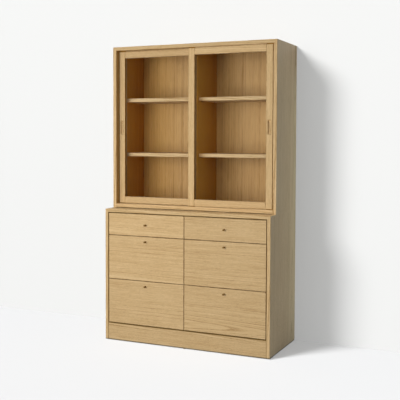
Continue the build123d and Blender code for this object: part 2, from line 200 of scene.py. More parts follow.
def buildOakFigure():
    # a log that runs along Z: growth rings round its heart, fibres and pores along it
    tree, given, result = newGroup(
        "oakFigure",
        [("Vector", "NodeSocketVector", None), ("Ring Width", "NodeSocketFloat", 0.0035),
         ("Wander", "NodeSocketFloat", 0.006), ("Pore Share", "NodeSocketFloat", 0.4)],
        [("Rings", "NodeSocketFloat"), ("Fibres", "NodeSocketFloat"), ("Pores", "NodeSocketFloat"),
         ("Cloud", "NodeSocketFloat"), ("Flecks", "NodeSocketFloat")])
    at = given["Vector"]

    def layer(point, stretch, *settings):
        return noise(tree, vectorCalc(tree, "MULTIPLY", point, stretch), 1.0, *settings).outputs

    def overYears(years, pace, detail):
        node = addNode(tree, "ShaderNodeTexNoise", noise_dimensions="1D")
        node.inputs["Scale"].default_value = 1.0
        node.inputs["Detail"].default_value = detail
        tree.links.new(calc(tree, "MULTIPLY", years, pace), node.inputs["W"])
        return node.outputs["Fac"]

    drift = vectorCalc(tree, "SUBTRACT", layer(at, logPattern["drift"])["Color"], (0.5, 0.5, 0.5))
    scaled = addNode(tree, "ShaderNodeVectorMath", operation="SCALE")
    tree.links.new(drift, scaled.inputs[0])
    tree.links.new(given["Wander"], scaled.inputs["Scale"])
    bent = vectorCalc(tree, "ADD", at, scaled.outputs["Vector"])
    across = vectorCalc(tree, "MULTIPLY", bent, (1.0, 1.0, 0.0))
    years = calc(tree, "DIVIDE", vectorCalc(tree, "LENGTH", across, (0.0, 0.0, 0.0)), given["Ring Width"])
    uneven = overYears(years, logPattern["widthPace"], 1.0)
    years = calc(tree, "MULTIPLY_ADD", uneven, logPattern["widthChange"], years)
    season = calc(tree, "FRACT", years)
    late = calc(tree, "MULTIPLY", remap(tree, season, logPattern["latewood"], (0.0, 1.0), "SMOOTHSTEP"),
                remap(tree, season, logPattern["yearEnd"], (1.0, 0.0), "SMOOTHSTEP"))
    strong = overYears(calc(tree, "FLOOR", years), logPattern["yearPace"], 2.0)
    weak = remap(tree, strong, logPattern["yearCut"], (0.0, logPattern["weakYear"]))
    plug(tree, result["Rings"], calc(tree, "MAXIMUM", late, weak))

    fibres = None
    for stretch, weight in logPattern["fibres"]:
        part = calc(tree, "MULTIPLY", layer(bent, stretch, 2.0, 0.6)["Fac"], weight)
        fibres = part if fibres is None else calc(tree, "ADD", fibres, part)
    plug(tree, result["Fibres"], remap(tree, fibres, logPattern["fibreCut"], (0.0, 1.0)))

    share = calc(tree, "MULTIPLY", given["Pore Share"], logPattern["poreShift"])
    dashes = calc(tree, "ADD", layer(bent, logPattern["pores"], 0.0)["Fac"], share)
    pores = remap(tree, dashes, logPattern["poreCut"], (0.0, 1.0))
    kept = remap(tree, late, (0.0, 1.0), (1.0, logPattern["latePores"]))
    plug(tree, result["Pores"], calc(tree, "MULTIPLY", pores, kept))
    plug(tree, result["Cloud"], layer(at, logPattern["cloud"], 3.0, 0.55)["Fac"])
    rays = layer(at, logPattern["flecks"], 1.0, 0.4, 0.3)["Fac"]
    plug(tree, result["Flecks"], remap(tree, rays, logPattern["fleckCut"], (0.0, 1.0), "SMOOTHSTEP"))
    return tree


edgeMaskPattern = {
    "edge": (0.998, 0.86),     # how far the rounded normal leans from the face's own, as a cosine
    "patches": (0.36, 0.6),
    "leastMask": 0.25,
}


def buildEdgeWear():
    # 1 along the edges, broken up by noise; it marks wear, and painted shade along the gaps
    tree, given, result = newGroup(
        "edgeMaskGroup",
        [("Radius", "NodeSocketFloat", 0.002), ("Break Up", "NodeSocketFloat", 30.0)],
        [("Wear", "NodeSocketFloat")])
    soft = addNode(tree, "ShaderNodeBevel", samples=4)
    tree.links.new(given["Radius"], soft.inputs["Radius"])
    geometry = addNode(tree, "ShaderNodeNewGeometry")
    facing = addNode(tree, "ShaderNodeVectorMath", operation="DOT_PRODUCT")
    tree.links.new(soft.outputs["Normal"], facing.inputs[0])
    tree.links.new(geometry.outputs["Normal"], facing.inputs[1])
    edge = remap(tree, facing.outputs["Value"], edgeMaskPattern["edge"], (0.0, 1.0), "SMOOTHSTEP")
    place = addNode(tree, "ShaderNodeTexCoord")
    patchy = addNode(tree, "ShaderNodeTexNoise", noise_dimensions="3D")
    tree.links.new(place.outputs["Object"], patchy.inputs["Vector"])
    tree.links.new(given["Break Up"], patchy.inputs["Scale"])
    patchy.inputs["Detail"].default_value = 3.0
    patches = remap(tree, patchy.outputs["Fac"], edgeMaskPattern["patches"], (edgeMaskPattern["leastMask"], 1.0))
    plug(tree, result["Wear"], calc(tree, "MULTIPLY", edge, patches))
    return tree


oakFigure = buildOakFigure()
edgeMaskGroup = buildEdgeWear()
print("shared effects built")


# oak: one material for each board, cut from its own place in the log

oakFinish = {
    "pale": srgb(216, 187, 142),     # latewood under oil
    "body": srgb(202, 171, 124),
    "deep": srgb(164, 127, 79),      # open earlywood
    "pore": srgb(112, 78, 38),
    "fleck": srgb(226, 199, 155),
    "worn": srgb(224, 194, 148),     # where hands and cloths pass
    "dustAndGapShade": srgb(110, 70, 0),       # oil and dust along an inset edge, and painted shade of the gap beside it
    "deepStop": 0.12,                # where the three woods stand on the ramp
    "bodyStop": 0.52,
    "paleStop": 0.86,
    "ringWidth": 3.4,                # mm
    "ringMean": 0.62,                # so that rings alone don't change the tone
    "cloud": 0.3,
    "flecks": 0.12,
    "lean": (0.6, -0.4),             # the log against the board, in degrees
    "wornWidth": 1.4,                # mm
    "wornMix": 0.3,
    "dustAndGapShadeMix": 0.95,
    "roughness": 0.52,
    "fibreRoughness": 0.16,
    "poreRoughness": 0.2,
    "wornPolish": 0.1,
    "shine": 0.28,
    "stileShine": 0.12,
    "wax": 0.3,
    "waxRoughness": 0.45,
    "bump": 0.35,
    "fibreHeight": 0.35,             # of a pore's depth
    "poreDepth": 0.25,               # mm
}
# what turns the way a board's grain runs to the log's own Z
logTurns = {"x": Matrix.Rotation(-math.pi / 2, 3, "Y"), "y": Matrix.Rotation(math.pi / 2, 3, "X"),
            "z": Matrix.Identity(3)}


def makeOak(name, along, heart, tone=1.0, rings=0.44, fibres=0.42, poreMix=0.55, shine=oakFinish["shine"],
            centre=(0, 0, 0), squeeze=(1, 1, 1), otherPiece=None, dustAndGapShade=0.0, dustAndGapShadeWidth=6.0,
            waxed=None, shades=()):
    # heart: the log's heart from the board's centre, in mm across the grain; the edges' darkening: how dark
    # the edges are, with dust and painted shade of the gaps
    # otherPiece: an axis, where wood of another grain starts on it, and the way that grain runs
    # waxed: (axis, where the wax starts, where it's full); shades: a tint and such spans for each tone of
    # painted shade or painted light
    material, tree, shader = startMaterial(name)
    place = addNode(tree, "ShaderNodeTexCoord").outputs["Object"]
    axes = addNode(tree, "ShaderNodeSeparateXYZ")
    tree.links.new(place, axes.inputs[0])

    def over(span, most=1.0):
        axis, start, full = span
        return remap(tree, axes.outputs[axis], (start, full), (0.0, most))

    def figureAlong(axis):
        tilt = Euler((*map(math.radians, oakFinish["lean"]), 0)).to_matrix()
        turn = tilt @ logTurns[axis]
        mapping = addNode(tree, "ShaderNodeMapping", vector_type="POINT")
        mapping.inputs["Rotation"].default_value = turn.to_euler("XYZ")
        mapping.inputs["Scale"].default_value = squeeze
        shift = -(turn @ (Vector(centre) * Vector(squeeze))) - Vector((heart[0] * mm, heart[1] * mm, 0))
        mapping.inputs["Location"].default_value = shift
        tree.links.new(place, mapping.inputs["Vector"])
        return placeGroup(tree, oakFigure, Vector=mapping.outputs["Vector"],
                          **{"Ring Width": oakFinish["ringWidth"] * mm})

    def together(figure):
        # rings, fibres and clouds, each round its own middle
        value = calc(tree, "MULTIPLY_ADD", figure["Rings"], rings, 0.5 - rings * oakFinish["ringMean"])
        for mask, mix in ((figure["Fibres"], fibres), (figure["Cloud"], oakFinish["cloud"])):
            value = calc(tree, "ADD", value, calc(tree, "MULTIPLY_ADD", mask, mix, -0.5 * mix))
        return value

    figure = figureAlong(along)
    shade, pores = together(figure), figure["Pores"]
    if otherPiece is not None:
        axis, limit, otherAlong = otherPiece
        other = figureAlong(otherAlong)
        past = calc(tree, "GREATER_THAN", axes.outputs[axis], limit)

        def choose(a, b):
            node = addNode(tree, "ShaderNodeMix", data_type="FLOAT")
            for socket, value in zip(node.inputs[:1] + node.inputs[2:4], (past, a, b)):
                plug(tree, socket, value)
            return node.outputs[0]

        shade = choose(shade, together(other))
        pores = choose(pores, other["Pores"])

    ramp = addNode(tree, "ShaderNodeValToRGB")
    stops = ramp.color_ramp.elements
    stops[0].position, stops[0].color = oakFinish["deepStop"], oakFinish["deep"]
    stops[1].position, stops[1].color = oakFinish["paleStop"], oakFinish["pale"]
    stops.new(oakFinish["bodyStop"]).color = oakFinish["body"]
    tree.links.new(shade, ramp.inputs["Fac"])
    color = mixColor(tree, calc(tree, "MULTIPLY", pores, poreMix), ramp.outputs["Color"], oakFinish["pore"])
    flecks = calc(tree, "MULTIPLY", figure["Flecks"], oakFinish["flecks"])
    color = mixColor(tree, flecks, color, oakFinish["fleck"])
    # the edges: lighter where worn, or darker with dust and painted shade of the gaps
    edgeWidth = dustAndGapShadeWidth if dustAndGapShade else oakFinish["wornWidth"]
    edgeMask = placeGroup(tree, edgeMaskGroup, Radius=edgeWidth * mm)["Wear"]
    color = mixColor(tree, calc(tree, "MULTIPLY", edgeMask, dustAndGapShade or oakFinish["wornMix"]), color,
                     oakFinish["dustAndGapShade" if dustAndGapShade else "worn"])
    # painted shade and painted light, each over its spans
    for tint, spans in shades:
        mask = 1.0
        for span in spans:
            mask = calc(tree, "MULTIPLY", mask, over(span))
        color = mixColor(tree, mask, color, (*boardTints[tint], 1.0), "MULTIPLY")
    color = mixColor(tree, 1.0, color, (tone, tone, tone, 1.0), "MULTIPLY")
    tree.links.new(color, shader.inputs["Base Color"])
    shader.inputs["Specular IOR Level"].default_value = shine
    if waxed is not None:
        tree.links.new(over(waxed, oakFinish["wax"]), shader.inputs["Coat Weight"])
        shader.inputs["Coat Roughness"].default_value = oakFinish["waxRoughness"]
    # rougher in the pores, smoother where it's worn
    uneven = oakFinish["fibreRoughness"]
    rough = calc(tree, "MULTIPLY_ADD", figure["Fibres"], uneven, oakFinish["roughness"] - uneven / 2)
    rough = calc(tree, "ADD", rough, calc(tree, "MULTIPLY", pores, oakFinish["poreRoughness"]))
    polish = calc(tree, "MULTIPLY", edgeMask, oakFinish["wornPolish"])
    tree.links.new(calc(tree, "SUBTRACT", rough, polish, clamp=True), shader.inputs["Roughness"])
    ridges = calc(tree, "MULTIPLY", figure["Fibres"], oakFinish["fibreHeight"])
    height = calc(tree, "SUBTRACT", ridges, pores)
    addBump(tree, shader, height, oakFinish["bump"], oakFinish["poreDepth"] * mm)
    return material


def dress(nodeName, material):
    for materialSlot in nodes[nodeName].material_slots:
        materialSlot.material = material


def lowOf(nodeName):
    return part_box(nodeName)[0]


def highOf(nodeName):
    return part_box(nodeName)[1]


def middleOf(nodeName):
    low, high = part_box(nodeName)
    return (low + high) / 2


# each board: the way its grain runs, its log's heart in mm, its tone; the tones also hold painted light,
# the drawer fronts darker towards the lower right
oakBoards = {
    "upper_side_left": ("z", (140, 190), 1.12), "upper_side_right": ("z", (150, 170), 1.07),
    "upper_top": ("x", (120, 150), 1.0), "upper_bottom": ("x", (110, 160), 0.97),
    "upper_divider": ("z", (150, 200), 0.95),
    "lower_side_left": ("z", (130, 210), 1.04), "lower_side_right": ("z", (160, 190), 1.04),
    "lower_top": ("x", (90, 180), 1.0), "lower_bottom": ("x", (100, 170), 0.95),
    "lower_divider": ("z", (150, 200), 0.95), "kickboard": ("x", (150, 95), 0.95),
    "left_door_stile_left": ("z", (190, 60), 1.075), "left_door_stile_right": ("z", (210, 70), 1.035),
    "left_door_top_rail": ("x", (180, 70), 1.02), "left_door_bottom_rail": ("x", (200, 60), 1.06),
    "right_door_stile_left": ("z", (200, 80), 1.105), "right_door_stile_right": ("z", (220, 60), 1.065),
    "right_door_top_rail": ("x", (60, 90), 1.1), "right_door_bottom_rail": ("x", (190, 60), 1.06),
    "shelf_left_lower": ("x", (60, 120), 1.08), "shelf_left_upper": ("x", (90, 140), 1.09),
    "shelf_right_lower": ("x", (70, 130), 1.07), "shelf_right_upper": ("x", (40, 110), 1.07),
    "drawer_left_top_front": ("x", (150, 105), 1.05),
    "drawer_left_middle_front": ("x", (210, 125), 1.01),
    "drawer_left_lower_front": ("x", (-225, 120), 0.98),
    "drawer_right_top_front": ("x", (-165, 120), 0.98),
    "drawer_right_middle_front": ("x", (-190, 110), 0.97),
    "drawer_right_lower_front": ("x", (105, 100), 0.96),
    "upper_back": ("z", (346, 52), 0.985), "lower_back": ("z", (40, 320), 0.95),
}
boardLooks = {
    # where a board's figure or gloss differs from the rest
    "upper_back": {"squeeze": (0.2, 0.2, 0.28), "fibres": 0.27, "rings": 0.16, "poreMix": 0.25},
    "upper_side_left": {"shine": 0.2},
    "upper_divider": {"shine": 0.18},
}
boardTints = {
    # each multiplies the colour of the wood under it; all but the shelves' own tint are painted shade or
    # painted light
    "innerWall": (1.02, 0.74, 0.2),       # inside, faces to the right: painted shade, dark and orange
    "innerRight": (0.95, 0.88, 0.74),     # inside, faces to the left and down: painted shade, milder
    "innerShelf": (0.94, 0.975, 1.08),
    "paintedLightShelfEnd": (1.4, 1.3, 1.1),          # the shelves beside the wall on their left: painted light at their ends
    # painted shade, darker and warmer, on the back's face inside
    "paintedShadeBack": (0.955, 0.9, 0.83),
    "leftCorner": (1.12, 1.0, 0.62),      # the back beside the left wall: painted light
    "paintedLightInnerCorner": (1.09, 1.06, 0.84),    # the back beside the divider: painted light
    "paintedShadeLowBay": (0.955, 0.93, 0.9),         # the back below the lower shelves: painted shade
    "paintedShadeWallCorner": (0.76, 0.66, 0.45),     # the walls towards the back: painted shade in the corners
    "paintedShadeChannel": (0.77, 0.66, 0.42),        # what the doors run between: painted shade
    "paintedShadeRebate": (0.62, 0.4, 0.04),          # the stiles behind their front: painted shade
    "paintedShadeArris": (0.29, 0.24, 0.1),           # the boards round the drawers, along their inner edge: painted shade of the gaps
    "paintedShadeGapWall": (0.42, 0.26, 0.08),        # the drawer fronts' edges: painted shade of the gaps
    "lightened": (1.02, 1.04, 1.05),         # where the upper unit meets the ledge: painted light
    "paintedFootShade": (0.33, 0.36, 0.39),           # painted shade along the floor
    "paintedCoolLightSide": (0.91, 0.965, 1.0),      # the right side towards the front: painted cooler light
}
shadeSpans = {
    # mm from an edge: where a painted tone starts and where it's full
    "leftCorner": (330, 0),
    "paintedLightInnerCorner": (200, 0),
    "paintedShadeLowBay": (0, -90),
    "surround": (18, 6),        # into the gap, on the boards round the drawers
    "paintedShadeGapWall": (18, 0),         # into the gap, on the drawer fronts
    "lower_side_left": (-5, -2.5),
    "lower_side_right": (3, 1.5),
    "lower_top": (5, 2.5),
    "lower_bottom": (-7.5, -3.75),
    "seam": (7, 4),
    "ledge": (-40, -15),
    "paintedFootShade": (8, 5),
    "paintedLightShelfEnd": (60, 8),
}
shadeDepths = {
    # mm behind a face: where a painted tone starts that the face itself doesn't have
    "boardSkin": 6,
    "sideSkin": 0.8,
    "frontSkin": 0.3,
    "stileSkin": 0.5,
    "backSkin": 2,
    "channelSkin": 2,
    "overlap": 1,
    "sharpness": 0.4,    # how soon a tone with a sharp start is full
}
# on Y: where the painted cooler light on the right side ends
coolSideFrom = 150 * mm    # on Y


def step(axis, limit, towards):
    # a tone that starts sharply at a limit, on the side that towards points to
    return axis, limit, limit + towards * shadeDepths["sharpness"] * mm


def fade(axis, edge, name):
    # a tone that comes in softly over its span
    start, full = shadeSpans[name]
    return axis, edge + start * mm, edge + full * mm


def oakShades():
    # painted shade inside the cabinet, in the doors' channel, on the walls of the narrow gaps and along the
    # floor; painted light at the shelves' left ends, the back's corners, the seam between the units and the
    # right side
    depth = {name: value * mm for name, value in shadeDepths.items()}
    shades = {}
    doorBack, doorFront = highOf("left_door_stile_left").y, lowOf("upper_side_left").y
    backFront = lowOf("upper_back").y
    inner = [step("Y", doorBack, 1), step("Y", backFront + depth["overlap"], -1)]
    paintedShadeChannel = [step("Y", doorFront + depth["channelSkin"], 1), step("Y", doorBack, -1)]
    intoCorner = ("Y", 0, backFront)
    skin = depth["boardSkin"]
    # painted shade inside the cabinet and in the doors' channel, deeper towards the back
    for nodeName, tint, span in (("upper_side_left", "innerWall", step("X", cadLow.x + skin, 1)),
                                 ("upper_side_right", "innerRight", step("X", cadHigh.x - skin, -1)),
                                 ("upper_top", "innerRight", step("Z", cadHigh.z - skin, -1))):
        shades[nodeName] = [(tint, inner + [span]), ("paintedShadeChannel", paintedShadeChannel + [span]),
                            ("paintedShadeWallCorner", inner + [span, intoCorner])]
    # painted shade on both faces of the divider, deeper towards the back
    dividerMiddle = middleOf("upper_divider").x
    dividerRight = step("X", dividerMiddle, 1)
    shades["upper_divider"] = [("innerRight", inner + [step("X", dividerMiddle, -1)]),
                               ("innerWall", inner + [dividerRight]),
                               ("paintedShadeWallCorner", inner + [dividerRight, intoCorner])]
    # painted shade on the back's inner face and below the lower shelves, painted light beside the left wall
    # and the divider
    backFace = step("Y", highOf("upper_back").y - depth["backSkin"], -1)
    shades["upper_back"] = [("paintedShadeBack", [backFace]),
                            ("paintedShadeLowBay", [backFace, fade("Z", lowOf("shelf_left_lower").z, "paintedShadeLowBay")])]
    for tint, corner in (("leftCorner", highOf("upper_side_left").x),
                         ("paintedLightInnerCorner", highOf("upper_divider").x)):
        shades["upper_back"].append((tint, [backFace, fade("X", corner, tint),
                                            step("X", corner - depth["overlap"], 1)]))
    # painted shade of the gaps, on the boards round the drawers
    intoGap = fade("Y", lowOf("lower_side_left").y, "surround")
    for nodeName, axis, edge in (("lower_side_left", "X", highOf("lower_side_left").x),
                                 ("lower_side_right", "X", lowOf("lower_side_right").x),
                                 ("lower_top", "Z", lowOf("lower_top").z),
                                 ("lower_bottom", "Z", highOf("lower_bottom").z)):
        shades[nodeName] = [("paintedShadeArris", [intoGap, fade(axis, edge, nodeName)])]
    # painted light along the seam between the units and on the ledge in front of it
    shades["upper_bottom"] = [("lightened", [fade("Z", lowOf("upper_bottom").z, "seam")])]
    shades["lower_top"].append(("lightened", [fade("Y", doorFront, "ledge")]))
    # painted cooler light on the right side towards the front
    for nodeName in ("upper_side_right", "lower_side_right"):
        shades[nodeName].append(("paintedCoolLightSide", [step("X", cadHigh.x - depth["sideSkin"], 1),
                                               ("Y", coolSideFrom, lowOf(nodeName).y)]))
    # painted shade along the floor, on the boards' feet
    paintedFootShade = fade("Z", lowOf("kickboard").z, "paintedFootShade")
    for nodeName in ("kickboard", "lower_side_left", "lower_side_right"):
        shades.setdefault(nodeName, []).append(("paintedFootShade", [paintedFootShade]))
    # painted light at the shelves' left ends; painted shade on the inner stile's edge, the stiles behind
    # their front and the drawer fronts' edges
    for nodeName in oakBoards:
        low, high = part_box(nodeName)
        behindFront = step("Y", low.y + depth["frontSkin"], 1)
        if nodeName.startswith("shelf_"):
            shades[nodeName] = [("innerShelf", []), ("paintedLightShelfEnd", [fade("X", low.x, "paintedLightShelfEnd")])]
        elif nodeName == "left_door_stile_right":
            shades[nodeName] = [("innerWall", [step("X", high.x - depth["stileSkin"], 1)])]
        elif "_stile_" in nodeName:
            shades[nodeName] = [("paintedShadeRebate", [behindFront])]
        elif nodeName.endswith("_front"):
            shades[nodeName] = [("paintedShadeGapWall", [behindFront, fade("Y", low.y, "paintedShadeGapWall")])]
    return shades


waxedSkin = (0.5, 0.1)    # mm behind the sides' outer faces: where the wax starts and where it's full
boardShades = oakShades()
for nodeName, (along, heart, tone) in oakBoards.items():
    look = {"centre": middleOf(nodeName), "shades": boardShades.get(nodeName, ())}
    # the edges round fronts, stiles and rails are darkened: dust and painted shade of the gaps
    if nodeName.endswith("front") or "stile" in nodeName or "rail" in nodeName:
        look["dustAndGapShade"] = oakFinish["dustAndGapShadeMix"]
    if "stile" in nodeName:
        look["shine"] = oakFinish["stileShine"]
    if "side" in nodeName:
        outwards = -1 if nodeName.endswith("left") else 1
        look["waxed"] = ("X", *(outwards * (cadHigh.x - behind * mm) for behind in waxedSkin))
    look.update(boardLooks.get(nodeName, {}))
    dress(nodeName, makeOak("oak_" + nodeName, along, heart, tone, **look))

drawerWood = {
    # hearts in mm, and how far on the next drawer's lies
    "boxHeart": (90, 60), "boxApart": 8, "boxTone": 0.98, "boxFibres": 0.6,
    "bottomHeart": (30, 260), "bottomApart": 9, "bottomTone": 0.97,
    "backBoard": 15,    # mm of the box's length
}
drawerRows = ("top", "middle", "lower")
drawerNames = [f"drawer_{column}_{row}" for column in ("left", "right") for row in drawerRows]
for number, name in enumerate(drawerNames):
    box, bottom = name + "_box", name + "_bottom"
    heartX, heartY = drawerWood["boxHeart"]
    backBoard = ("Y", highOf(box).y - drawerWood["backBoard"] * mm, "x")
    dress(box, makeOak("oak_" + box, "y", (heartX + number * drawerWood["boxApart"], heartY),
                       drawerWood["boxTone"], fibres=drawerWood["boxFibres"], centre=middleOf(box),
                       otherPiece=backBoard))
    heartX, heartY = drawerWood["bottomHeart"]
    dress(bottom, makeOak("oak_" + bottom, "x", (heartX, heartY + number * drawerWood["bottomApart"]),
                          drawerWood["bottomTone"], centre=middleOf(bottom)))
dress("drawer_runners", makeOak("oak_runners", "y", (80, 60), 0.9))
for side in ("left", "right"):
    beads = side + "_door_beads"
    dress(beads, makeOak("oak_" + side + "_beads", "z", (150, 60), 0.96, centre=middleOf(beads)))
print("oak boards dressed")


# the other finishes

plainFinishes = {
    # specks: noise per metre and its detail; bump: strength and depth in mm
    "beech_dowels": {
        "node": "case_dowels", "dark": srgb(196, 158, 112), "pale": srgb(224, 190, 145), "metallic": 0.0,
        "specks": (600.0, 2.0), "roughness": (0.5, 0.65), "bump": (0.2, 0.2)},
    "steel_screws": {
        "node": "back_screws", "dark": srgb(150, 150, 146), "pale": srgb(196, 194, 188), "metallic": 1.0,
        "specks": (900.0, 3.0), "roughness": (0.28, 0.44), "bump": (0.1, 0.1)},
    "bronzed_pins": {
        "node": "shelf_pins", "dark": srgb(150, 112, 66), "pale": srgb(190, 150, 96), "metallic": 1.0,
        "specks": (900.0, 3.0), "roughness": (0.28, 0.44), "bump": (0.1, 0.1)},
    "glide_plastic": {
        "node": "floor_glides", "dark": srgb(150, 130, 100), "pale": srgb(172, 152, 120), "metallic": 0.0,
        "specks": (1400.0, 2.0), "roughness": (0.45, 0.6), "bump": (0.2, 0.1)},
}


def makeSpeckled(name, look):
    material, tree, shader = startMaterial(name)
    place = addNode(tree, "ShaderNodeTexCoord").outputs["Object"]
    specks = noise(tree, place, *look["specks"]).outputs["Fac"]
    tree.links.new(mixColor(tree, specks, look["dark"], look["pale"]), shader.inputs["Base Color"])
    tree.links.new(remap(tree, specks, (0.3, 0.7), look["roughness"]), shader.inputs["Roughness"])
    shader.inputs["Metallic"].default_value = look["metallic"]
    strength, bumpDepth = look["bump"]
    addBump(tree, shader, specks, strength, bumpDepth * mm)
    return material


brassFinish = {
    "bright": srgb(176, 142, 88),
    "aged": srgb(118, 90, 48),
    "spots": srgb(146, 114, 64),
    "wornWidth": 1.2,    # mm
    "wornSpots": 180.0,
    "wornMix": 0.7,
    "roughness": (0.42, 0.58),
}


def makeBrass():
    # antique brass: brown in the hollows, rubbed bright on the edges
    material, tree, shader = startMaterial("brass")
    place = addNode(tree, "ShaderNodeTexCoord").outputs["Object"]
    patches = noise(tree, place, 260.0, 4.0, 0.6).outputs["Fac"]
    edgeMask = placeGroup(tree, edgeMaskGroup, **{"Radius": brassFinish["wornWidth"] * mm,
                                         "Break Up": brassFinish["wornSpots"]})["Wear"]
    aged = mixColor(tree, remap(tree, patches, (0.35, 0.65), (0.0, 1.0)),
                    brassFinish["aged"], brassFinish["spots"])
    lightened = calc(tree, "MULTIPLY", edgeMask, brassFinish["wornMix"])
    color = mixColor(tree, lightened, aged, brassFinish["bright"])
    tree.links.new(color, shader.inputs["Base Color"])
    shader.inputs["Metallic"].default_value = 1.0
    tree.links.new(remap(tree, patches, (0.3, 0.7), brassFinish["roughness"]), shader.inputs["Roughness"])
    addBump(tree, shader, patches, 0.15, 0.1 * mm)
    return material


glassFinish = {
    "tint": srgb(252, 252, 250),
    "ior": 1.08,
    "dustRoughness": 0.015,
}


def makeDoorGlass():
    # lamps reach the shelves through it
    material, tree, shader = startMaterial("door_glass")
    shader.inputs["Transmission Weight"].default_value = 1.0
    shader.inputs["IOR"].default_value = glassFinish["ior"]
    place = addNode(tree, "ShaderNodeTexCoord").outputs["Object"]
    dust = noise(tree, place, 3.0, 3.0).outputs["Fac"]
    color = mixColor(tree, dust, glassFinish["tint"], srgb(255, 255, 255))
    tree.links.new(color, shader.inputs["Base Color"])
    tree.links.new(remap(tree, dust, (0.4, 0.7), (0.0, glassFinish["dustRoughness"])),
                   shader.inputs["Roughness"])
    clear = addNode(tree, "ShaderNodeBsdfTransparent")
    clear.inputs["Color"].default_value = glassFinish["tint"]
    ray = addNode(tree, "ShaderNodeLightPath")
    both = addNode(tree, "ShaderNodeMixShader")
    passes = calc(tree, "MAXIMUM", ray.outputs["Is Shadow Ray"], ray.outputs["Is Diffuse Ray"])
    tree.links.new(passes, both.inputs[0])
    tree.links.new(shader.outputs["BSDF"], both.inputs[1])
    tree.links.new(clear.outputs["BSDF"], both.inputs[2])
    tree.links.new(both.outputs[0], tree.nodes["Material Output"].inputs["Surface"])
    return material


brass, doorGlass = makeBrass(), makeDoorGlass()
for name, look in plainFinishes.items():
    dress(look["node"], makeSpeckled(name, look))
for side in ("left", "right"):
    dress(side + "_door_glass", doorGlass)
print("other finishes dressed")


# new pieces

def putInOrder(elements, placeOf):
    # bevels leave points and faces in an order that changes from run to run
    ordered = sorted(elements, key=lambda e: [round(c / mm, 3) for c in placeOf(e)])
    ranks = {e: rank for rank, e in enumerate(ordered)}
    elements.sort(key=lambda e: ranks[e])


def newPiece(name, shape, material, body, stoodFor, smoothAngle=30):
    putInOrder(shape.verts, lambda v: v.co)
    putInOrder(shape.faces, lambda f: f.calc_center_median())
    mesh = bpy.data.meshes.new(name)
    shape.to_mesh(mesh)
    shape.free()
    mesh.materials.append(material)
    mesh.shade_smooth()
    mesh.set_sharp_from_angle(angle=math.radians(smoothAngle))
    piece = bpy.data.objects.new(name, mesh)
    scene.collection.objects.link(piece)
    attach(piece, body)
    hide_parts(stoodFor)
    return piece


def turnProfile(shape, points, roundings, steps):
    # spins a profile of (radius, distance from the front) about the knob's own axis, which points to -Y
    verts = [shape.verts.new((radius * mm, -reach * mm, 0)) for radius, reach in points]
    for pair in zip(verts, verts[1:]):
        shape.edges.new(pair)
    for index, amount in sorted(roundings.items(), reverse=True):
        bmesh.ops.bevel(shape, geom=[verts[index]], offset=amount * mm, segments=3, profile=0.5,
                        affect="VERTICES", material=-1, offset_type="OFFSET")
    edges = [e for e in shape.edges if not e.link_faces]
    ends = dict.fromkeys(v for e in edges for v in e.verts)
    bmesh.ops.spin(shape, geom=edges + list(ends), cent=(0, 0, 0), axis=(0, 1, 0), angle=2 * math.pi,
                   steps=steps, use_merge=True)
    bmesh.ops.remove_doubles(shape, verts=shape.verts, dist=0.01 * mm)


knobShape = {
    # radius and distance from the drawer's front, in mm; roundings by the point's place in the list
    "profile": [(0, 0), (5.5, 0), (5.5, 1.1), (4.4, 1.9), (3.7, 4.2), (3.8, 8.4), (4.9, 10.6),
                (6.5, 12.0), (6.5, 17.6), (5.9, 19.2), (3.2, 19.85), (0, 20)],
    "rounding": {2: 0.5, 7: 0.9, 8: 1.2, 9: 0.6},
    "steps": 40,
    "stand": 20,
}
screwShape = {
    # its domed head inside the drawer, its shank through the front
    "profile": [(0, -23.2), (1.2, -24.0), (1.7, -24.5), (3.2, -23.8), (4.0, -22.5), (4.0, -22.0),
                (2.0, -22.0), (2.0, 0)],
    "rounding": {3: 0.5},
    "steps": 24,
}


def buildKnob(drawerName):
    shape, screw = bmesh.new(), bmesh.new()
    for part, plan in ((shape, knobShape), (screw, screwShape)):
        turnProfile(part, plan["profile"], plan["rounding"], plan["steps"])
    joined = bpy.data.meshes.new("screw")
    screw.to_mesh(joined)
    screw.free()
    shape.from_mesh(joined)
    bpy.data.meshes.remove(joined)
    bmesh.ops.recalc_face_normals(shape, faces=shape.faces)
    middle = middleOf(drawerName + "_knob")
    frontY = lowOf(drawerName + "_knob").y + knobShape["stand"] * mm
    bmesh.ops.translate(shape, verts=shape.verts, vec=(middle.x, frontY, middle.z))
    newPiece(drawerName.replace("drawer", "turned_knob"), shape, brass, drawerName,
             drawerName + "_knob")


for name in drawerNames:
    buildKnob(name)
print("knobs turned")


pullShape = {
    # mm
    "corner": 5.7,
    "cornerSteps": 8,
    "wall": 2.0,
    "draft": 3.0,
    "floor": 2.6,
    "floorRound": 2.2,
    "floorSteps": 4,
    "lip": 0.35,
    "lipSteps": 2,
    "grainHeart": (120, 60),
    # the pocket's darkened edges: dust and painted shade along the rim
    "dustAndGapShadeMix": 0.75,
    "dustAndGapShadeWidth": 0.9,
}


